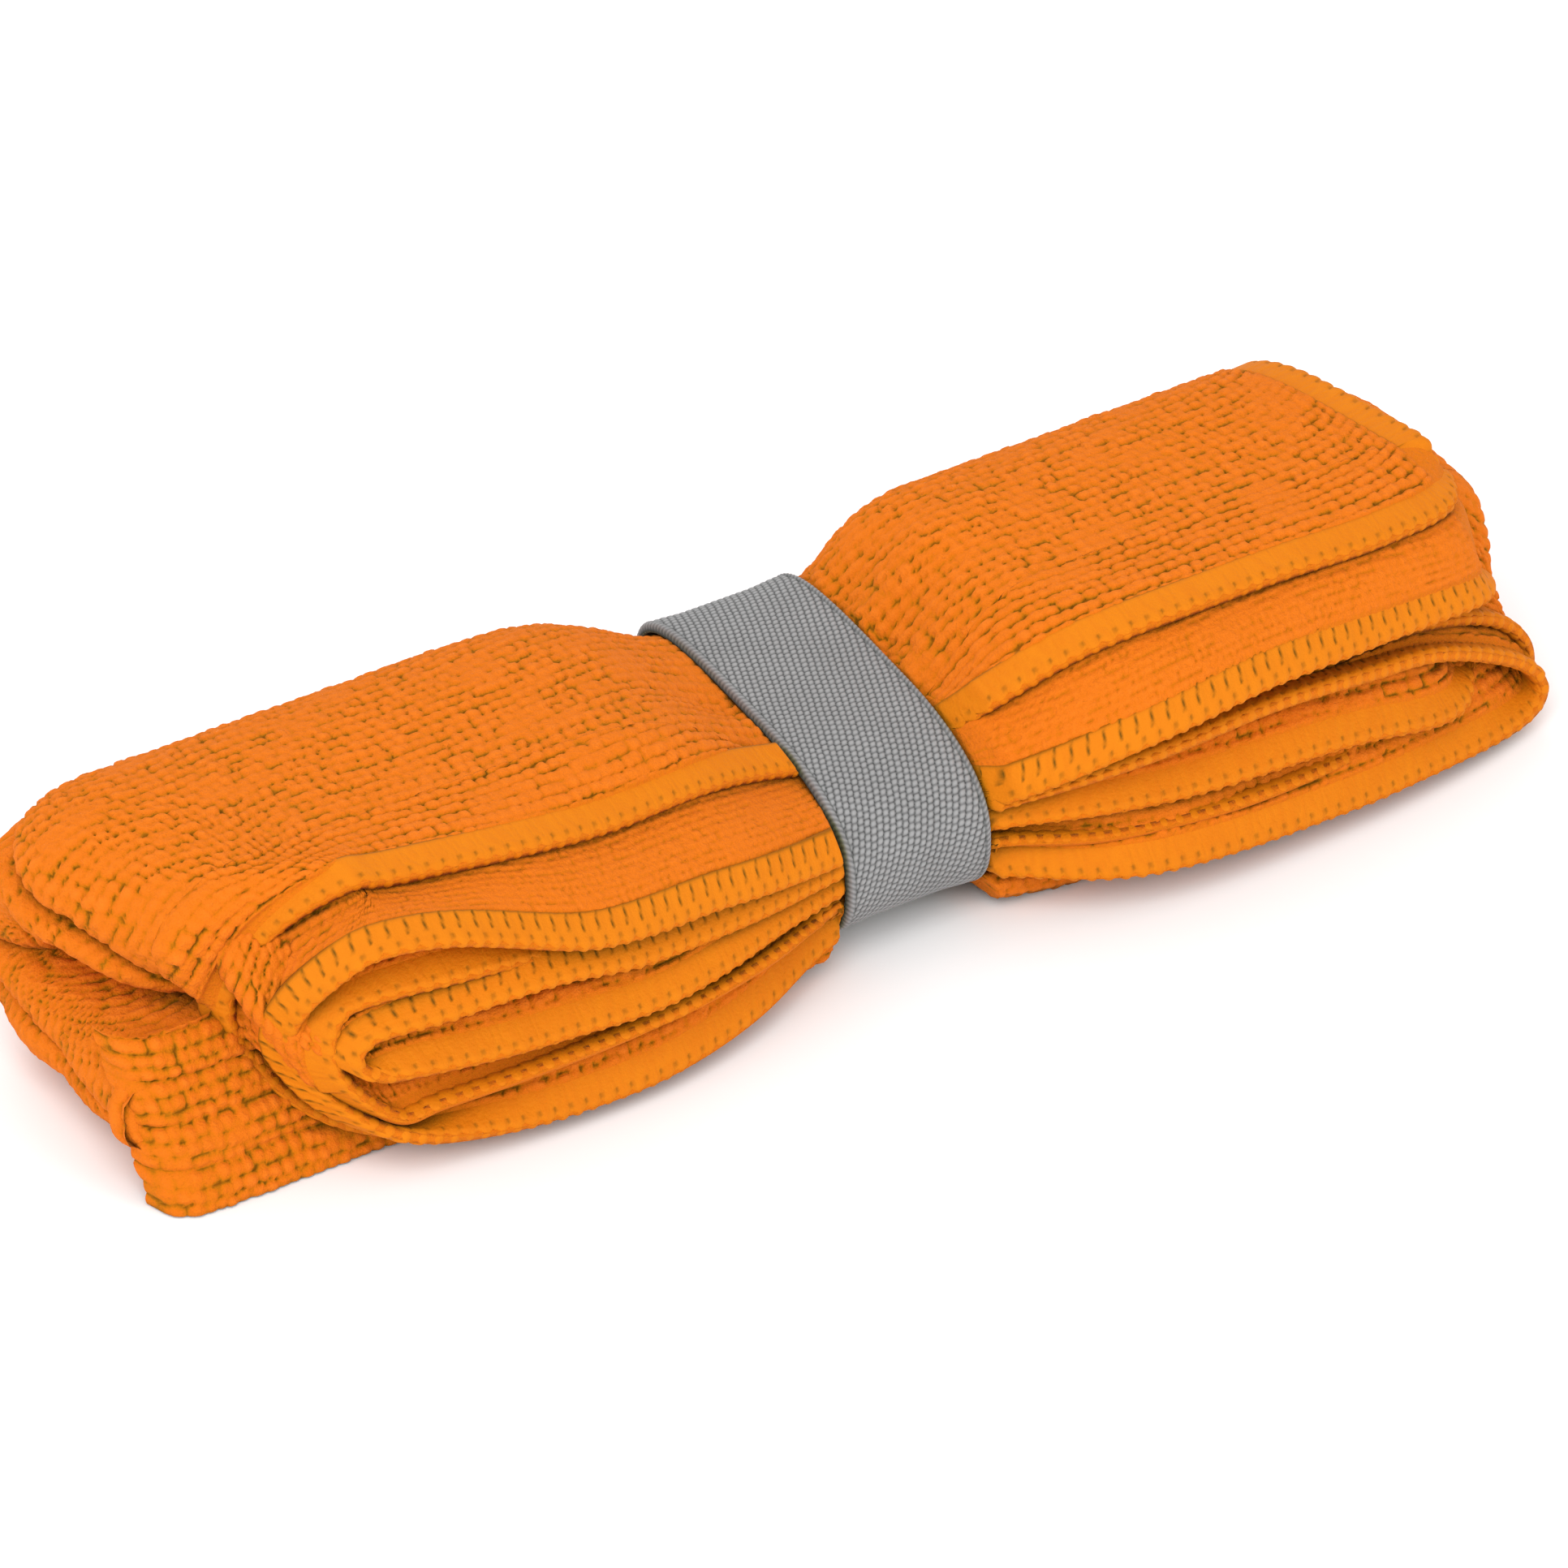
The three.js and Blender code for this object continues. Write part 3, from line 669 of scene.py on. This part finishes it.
def lay_bights(seed, lengths):
    """The folds at the lower front, where the two plies of the double strip meet."""
    x, w = path(STATIONS, 0)
    ends, length = strand(x, w, np.array([1.0]))
    ends = settle(ends, STATIONS)[:, 0]
    ends[:, 1] += 4 * smooth((-86 - ends[:, 0]) / 6)
    top, bottom, _, _ = section_at(x)
    radius = PLY * (top - bottom) / HEIGHT
    angles = np.linspace(-np.pi / 2, np.pi / 2, 18)
    ahead = unit(np.gradient(np.stack([x, w], -1), axis=0))
    rise = np.stack([-ahead[:, 1], np.zeros(len(x)), ahead[:, 0]], -1)
    centre = ends[:, None]
    points = centre + rise[:, None] * (np.sin(angles)[None, :, None] * radius[:, None, None])
    points = points + np.array([0, -1, 0]) * (np.cos(angles)[None, :, None] * radius[:, None, None])
    v = 150 + np.broadcast_to(angles[None, :] * PLY, points.shape[:2])
    height = pile(np.broadcast_to(STATIONS[:, None], v.shape), v, seed)
    normals = unit(points - centre)
    points = points + normals * (PILE * height)[..., None]
    points[..., 2] = np.maximum(points[..., 2], 0.05)
    cloth.grid(clear_of_band(points), pile=height)


def lay_lower_front(seed):
    """The lower half's front at its left end, where the outer fold is pressed flat over the others."""
    s, v = np.arange(0, 86, FINE), np.arange(0, 29, FINE)
    round_it = np.clip(1 - s / 7, 0, 1)[:, None]
    z = v[None, :] * 0.9 + 0 * s[:, None]
    x = np.broadcast_to(-133.6 + s[:, None], z.shape)
    y = -26.4 + BIGHT_SLOPE * z + 7 * (1 - np.sqrt(np.clip(1 - round_it**2, 0, 1)))
    y = y + 1.2 * (noise(s[:, None] / 12, z / 5, seed) - 0.5) - 0.9 * np.abs(np.sin(np.pi * z / 6.2))
    y = y + 3 * smooth((s[:, None] - 50) / 30)
    points = np.stack([x, y, z + 0.3], -1)
    height = pile(np.broadcast_to(s[:, None], z.shape), np.broadcast_to(v[None, :], z.shape), seed)
    height = height * (0.45 + 0.55 * height)
    points = points + normals_of(points) * (PILE * 1.2 * height)[..., None]
    cloth.grid(points, pile=height)


curve_a = margins(HEM_A, PLY / 2)
curve_b = margins(HEM_B, -PLY / 2, curve_a)
for lower, lower_run, upper, upper_run in (
    (curve_a, "C", curve_b, "T"), (curve_b, "C", curve_a, "C"),
    (curve_b, "E", curve_b, "C"), (curve_a, "E", curve_b, "E"),
    (curve_b, "F", curve_b, "E"), (curve_a, "F", curve_b, "F"),
):
    stack(lower, lower_run, upper, upper_run)
margin_a, length_a, even_a = spaced(curve_a)
margin_b, length_b, even_b = spaced(curve_b)
normal_a = lay_margin(margin_a, length_a, even_a, 10)
normal_b = lay_margin(margin_b, length_b, even_b, SEED_B)
lay_body(PLY / 2, 0, STARTS["L"][1] + 12, FINE, 10, length_a)
lay_body(PLY / 2, STARTS["L"][1] + 12, STARTS["R"][0] - 12, COARSE, 10, length_a)
lay_body(PLY / 2, STARTS["R"][0] - 12, STARTS["R"][1] + 25, FINE, 10, length_a)
lay_body(PLY / 2, STARTS["R"][1] + 25, TOTAL, COARSE, 10, length_a)
lay_body(-PLY / 2, 0, TOTAL, COARSE, 20, length_b)
lay_bights(30, length_a)
lay_lower_front(50)

TERRY, THREAD, WEBBING, SEAM = terry_material(), thread_material(), webbing_material(), seam_material()
towel = cloth.build("terry_cloth", TERRY)
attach(towel, "towel")
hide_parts("towel_cloth")


# ---------------------------------------------------------------- overlocked edges
STITCH = 2.9


def edging(name, node, edge, way, normal, satin_out, seed):
    """A border of thread folded over an edge, one face satin and the other with the ladder stitch."""
    run = np.concatenate([[0], np.cumsum(np.linalg.norm(np.diff(edge, axis=0), axis=1))])
    count = int(run[-1] / 0.45)
    at = np.linspace(0, run[-1], count)
    parts = (edge, way, normal)
    line, off, up = (np.stack([np.interp(at, run, part[:, k]) for k in range(3)], -1) for part in parts)
    off, up = unit(off), unit(up)
    thick = 1.25
    arc = np.linspace(0, np.pi, 7)[1:-1]
    inset = np.linspace(HEM_WIDTH, thick, 12)
    back_in = np.concatenate([inset, thick - thick * np.sin(arc), inset[::-1]])
    lift = np.concatenate([np.full(12, thick), thick * np.cos(arc), np.full(12, -thick)])
    side = np.concatenate([np.ones(12), np.cos(arc), -np.ones(12)])
    crown = np.concatenate([np.linspace(0.75, 1, 12), np.ones(5), np.linspace(1, 0.75, 12)])
    phase = at[:, None] / STITCH
    ladder = (side * (-1 if satin_out else 1))[None, :] > 0.3
    across = back_in[None, :]
    near = np.clip(1 - across / 2.2, 0, 1)
    scallop = 0.75 * (np.abs(np.sin(np.pi * phase)) - 0.6) * near
    wobble = 0.25 * (noise(at[:, None] / 9, 0, seed) - 0.5)
    slant = phase + across * 0.07 + 0.08 * (chance(np.floor(phase), 3, seed) - 0.5)
    cell = slant - np.floor(slant)
    tick = np.exp(-((cell - 0.5) / 0.07) ** 2) * smooth((across - 2.6) / 0.6)
    tick = tick * smooth((HEM_WIDTH + 0.3 - across) / 0.5)
    place = phase - np.floor(phase)
    dot = np.exp(-(place - 0.02) ** 2 / 0.012) + np.exp(-(place - 1.02) ** 2 / 0.012)
    dot = np.clip(dot, 0, 1) * np.exp(-((across - 1.5) / 0.45) ** 2)
    dot = dot * np.where(np.abs(side)[None, :] > 0.3, 1, 0)
    # Where painted shade goes on the thread: ticks between the ladder stitches, needle holes and the hem's
    # inner border; the same marks also dent the thread.
    groove = np.where(ladder, np.clip(tick + 0.8 * dot, 0, 1), 0.8 * dot)
    border = np.exp(-((across - HEM_WIDTH) / 0.35) ** 2) * 0.6
    groove = np.clip(np.maximum(groove, border), 0, 1)
    grain = noise(at[:, None] / 0.5, across / 3, seed + 1)
    rope = np.where(ladder, 0.22 * np.abs(np.sin(np.pi * slant)), 0.03 * grain)
    reach = (lift[None, :] * crown[None, :]) + side[None, :] * (rope - 0.28 * groove)
    stray = 1.5 * noise(at[:, None] / 1.3, across / 4, seed + 2)
    hatch = 0.5 + 0.5 * np.sin(2 * np.pi * (at[:, None] / 0.55 + across * 0.08 + stray))
    points = line[:, None] - off[:, None] * (across - scallop - wobble * near)[..., None]
    points = points + up[:, None] * reach[..., None]
    points[..., 2] = np.maximum(points[..., 2], 0.1)
    points = clear_of_band(points, 0.15)
    strip = Sheets()
    index = strip.grid(points, closed=True, groove=groove, hatch=hatch * (1 - 0.6 * ladder))
    piece = strip.build(name, THREAD)
    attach(piece, "towel")
    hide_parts(node)
    return piece


def frame_of(points, normals):
    """The edge line of a margin's grid, the way off it, and its outer side."""
    return points[:, -1], unit(points[:, -1] - points[:, -8]), normals[:, -2]


edge_a = edging("near_long_edge", "near_long_edge_overlock", *frame_of(margin_a, normal_a), True, 3)
edge_b = edging("far_long_edge", "far_long_edge_overlock", *frame_of(margin_b, normal_b), False, 4)


def short_edge(row, out_a):
    """The edge along one end of the roll: from one ply's front margin, round the back, to the front."""
    body_x, body_w = path(np.array([STATIONS[row]]), out_a)
    wall, _ = strand(body_x, body_w, np.linspace(0, 1, 120))
    wall = settle(wall, STATIONS[row : row + 1])[0]
    front = (margin_a if out_a > 0 else margin_b)[row]
    return np.concatenate([front[::-1][:-1], wall[1:]])


def end_frame(row, out):
    line = short_edge(row, out)
    ahead = unit(np.gradient(line, axis=0))
    off = np.tile([1.0, 0, 0], (len(line), 1))
    off = unit(off - ahead * (off * ahead).sum(1, keepdims=True))
    return line + off * 0.6, off, unit(np.cross(ahead, off)) * -1


outer_a = edging("outer_short_edge", "outer_short_edge_overlock", *end_frame(0, PLY / 2), True, 5)
inner_end = end_frame(len(STATIONS) - 1, -PLY / 2)
inner_a = edging("inner_short_edge", "inner_short_edge_overlock", *inner_end, True, 6)


# ---------------------------------------------------------------- the elastic band
BAND_GROW = 0.9     # from the waist's section to the middle of the webbing
BAND_POINTS = 900


def band_outline(grow, count):
    """The band's loop round the waist, evenly spaced, as y and z."""
    top, bottom, front, back = (float(side[0]) for side in section_at(np.array([BAND_X])))
    middle, half = (top + bottom) / 2, (top - bottom) / 2
    angles = np.linspace(0, 2 * np.pi, 721)
    power = 2 / np.where(np.cos(angles) < 0, FRONT_POWER, BACK_POWER)
    reach = np.where(np.cos(angles) < 0, front, back) + grow
    y = np.sign(np.cos(angles)) * np.abs(np.cos(angles)) ** power * reach
    z = middle + np.sign(np.sin(angles)) * np.abs(np.sin(angles)) ** power * (half + grow)
    z = lean(y, z, BAND_X)
    run = np.concatenate([[0], np.cumsum(np.hypot(np.diff(y), np.diff(z)))])
    at = np.linspace(0, run[-1], count, endpoint=False)
    return np.stack([np.interp(at, run, y), np.interp(at, run, z)], -1), run[-1]


def elastic():
    """The band: a loop of twill webbing, its ribs slanting across it and its two edges corded."""
    thick, border, rib_pitch, bead = 0.6, 1.4, 1.15, 1.1
    loop, around = band_outline(BAND_GROW, BAND_POINTS)
    s = np.linspace(0, around, BAND_POINTS, endpoint=False)[:, None]
    half = BAND_WIDTH / 2
    middle = np.linspace(-half + border, half - border, 110)
    left, right = np.linspace(-half, -half + border, 9)[:-1], np.linspace(half - border, half, 9)[1:]
    across = np.concatenate([left, middle, right])
    a = across[None, :]
    wave = 0.12 * (noise(s / 2.2, a / 2.2, 91) - 0.5)
    rib = (a * 0.94 + s * 0.34) / rib_pitch + wave
    cell = rib - np.floor(rib)
    beads = s / bead + 0.5 * np.floor(rib) + 0.3 * chance(np.floor(rib), 5, 92)
    notch = np.abs(2 * (beads - np.floor(beads)) - 1) ** 2.2
    ridge = np.sqrt(np.clip(1 - np.abs(2 * cell - 1) ** 2.2, 0, 1)) * (1 - 0.62 * notch)
    face = smooth((half - border - np.abs(a) + 0.15) / 0.3)
    cord_place = np.clip((np.abs(a) - (half - border)) / border, 0, 1)
    twist = 0.5 + 0.5 * np.sin(2 * np.pi * (s / 0.95 + 0.9 * cord_place))
    cord = np.sqrt(np.clip(1 - (2 * cord_place - 1) ** 2, 0, 1)) * (0.8 + 0.2 * twist)
    lift = 0.26 * ridge * face + 0.55 * cord * (1 - face)
    # Painted shade mask: dark between the ribs and where the cords fall away; it does not change the band's
    # shape.
    groove = np.clip(1.32 - ridge * 1.45, 0, 1) * face
    groove = groove + np.clip(1.35 - cord - 0.35 * twist, 0, 1) * (1 - face)
    rounded = np.sqrt(np.clip(1 - np.clip((np.abs(a) - half + 0.6) / 0.6, 0, 1) ** 2, 0, 1))
    ahead = np.roll(loop, -1, 0) - np.roll(loop, 1, 0)
    normal = unit(np.stack([ahead[:, 1], -ahead[:, 0]], -1))
    flare = 0.35 * smooth((np.abs(a) - 6) / 6) * (1 - smooth((np.abs(a) - half + 1.6) / 1.6))
    lap = smooth((LAP_HALF - np.abs(loop[:, 1] - LAP_Z)) / 0.8) * (loop[:, 0] > 0)
    proud = (thick + lift) * rounded - 0.1 + flare + 0.9 * lap[:, None]
    outer = loop[:, None] + normal[:, None] * proud[..., None]
    inner = loop[:, None] - normal[:, None] * (thick * rounded + 0.1 - flare + 0 * s)[..., None]
    xs = np.broadcast_to(BAND_X + a, outer.shape[:2])[..., None]
    faces = np.concatenate([xs, outer], -1), np.concatenate([xs, inner], -1)
    ring = np.concatenate([faces[0], faces[1][:, ::-1]], axis=1)
    wrap = Sheets()
    groove = np.concatenate([groove, groove[:, ::-1]], axis=1)
    wrap.grid(ring, closed=True, around=True, flip=True, groove=groove)
    return wrap.build("elastic", WEBBING), around


def lap_thread():
    """Zigzag thread through the lap at the back, as a round strand that dips where it is sewn in."""
    loop, _ = band_outline(BAND_GROW, BAND_POINTS)
    behind = loop[loop[:, 0] > 0]
    behind = behind[np.argsort(behind[:, 1])]
    turns, steps, around = 16, 10, 8
    place = np.linspace(0, turns, turns * steps + 1)
    side = 2 * np.abs(place / 2 - np.floor(place / 2 + 0.5)) * 2 - 1
    x = BAND_X - 11 + 22 * place / turns
    z = LAP_Z + 4.6 * side
    y = np.interp(z, behind[:, 1], behind[:, 0]) + 1.95 - 0.55 * np.abs(side) ** 8
    line = np.stack([x, y, z], -1)
    ahead = unit(np.gradient(line, axis=0))
    out = np.broadcast_to([0.0, 1.0, 0.0], line.shape)
    across = unit(np.cross(ahead, out))
    turn_at = np.linspace(0, 2 * np.pi, around, endpoint=False)
    thick = 0.36 * np.sqrt(np.clip(np.minimum(place, turns - place) * 3, 0.01, 1))[:, None, None]
    sideways, outward = np.cos(turn_at)[None, :, None], np.sin(turn_at)[None, :, None]
    ring = line[:, None] + thick * (sideways * across[:, None] + outward * out[:, None])
    thread = Sheets()
    thread.grid(ring, closed=True, flip=True)
    return thread.build("lap_thread", SEAM)


band, band_length = elastic()
zigzag = lap_thread()
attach(band, "band")
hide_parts("elastic_band")

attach(zigzag, "band")
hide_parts("band_lap_stitching")


# ---------------------------------------------------------------- floor, light and camera
def backdrop():
    mesh = bpy.data.meshes.new("floor")
    size = 6.0
    corners = [(-size, -size, 0), (size, -size, 0), (size, size, 0), (-size, size, 0)]
    mesh.from_pydata(corners, [], [(0, 1, 2, 3)])
    material = bpy.data.materials.new("floor")
    material.use_nodes = True
    shader = material.node_tree.nodes["Principled BSDF"]
    shader.inputs["Base Color"].default_value = (0.93, 0.93, 0.93, 1)
    shader.inputs["Roughness"].default_value = 0.9
    mesh.materials.append(material)
    floor = bpy.data.objects.new("floor", mesh)
    bpy.context.scene.collection.objects.link(floor)


def lamp(name, place, size, power):
    light = bpy.data.lights.new(name, "AREA")
    light.shape, light.size, light.energy = "DISK", size, power
    holder = bpy.data.objects.new(name, light)
    holder.location = place
    holder.rotation_euler = (-Vector(place)).to_track_quat("-Z", "Y").to_euler()
    bpy.context.scene.collection.objects.link(holder)


backdrop()
lamp("key", (-0.9, -1.1, 1.9), 1.6, 22)
lamp("side", (-2.0, -0.3, 0.8), 1.4, 13)
lamp("fill", (1.0, -1.8, 0.8), 1.4, 13)
lamp("rim", (0.3, 1.6, 1.4), 1.4, 8)
world = bpy.data.worlds.new("studio")
world.use_nodes = True
world.node_tree.nodes["Background"].inputs["Color"].default_value = (1, 1, 1, 1)
world.node_tree.nodes["Background"].inputs["Strength"].default_value = 0.85
bpy.context.scene.world = world
bpy.context.scene.view_settings.view_transform = "Standard"

AIM = Vector((4.7, 8.7, 13.8)) * MM
RIGHT, UP = Vector((0.8473, -0.5311, 0)), Vector((0.3084, 0.492, 0.8141))
AWAY = 2.6
TOWARDS = RIGHT.cross(UP).normalized()
camera = bpy.data.cameras.new("camera")
camera.sensor_width = 36
camera.lens = 36 * AWAY / 0.25985
camera.clip_end = 20
eye = bpy.data.objects.new("camera", camera)
eye.location = AIM + TOWARDS * AWAY
eye.rotation_euler = (-TOWARDS).to_track_quat("-Z", "Y").to_euler()
bpy.context.scene.collection.objects.link(eye)
bpy.context.scene.camera = eye
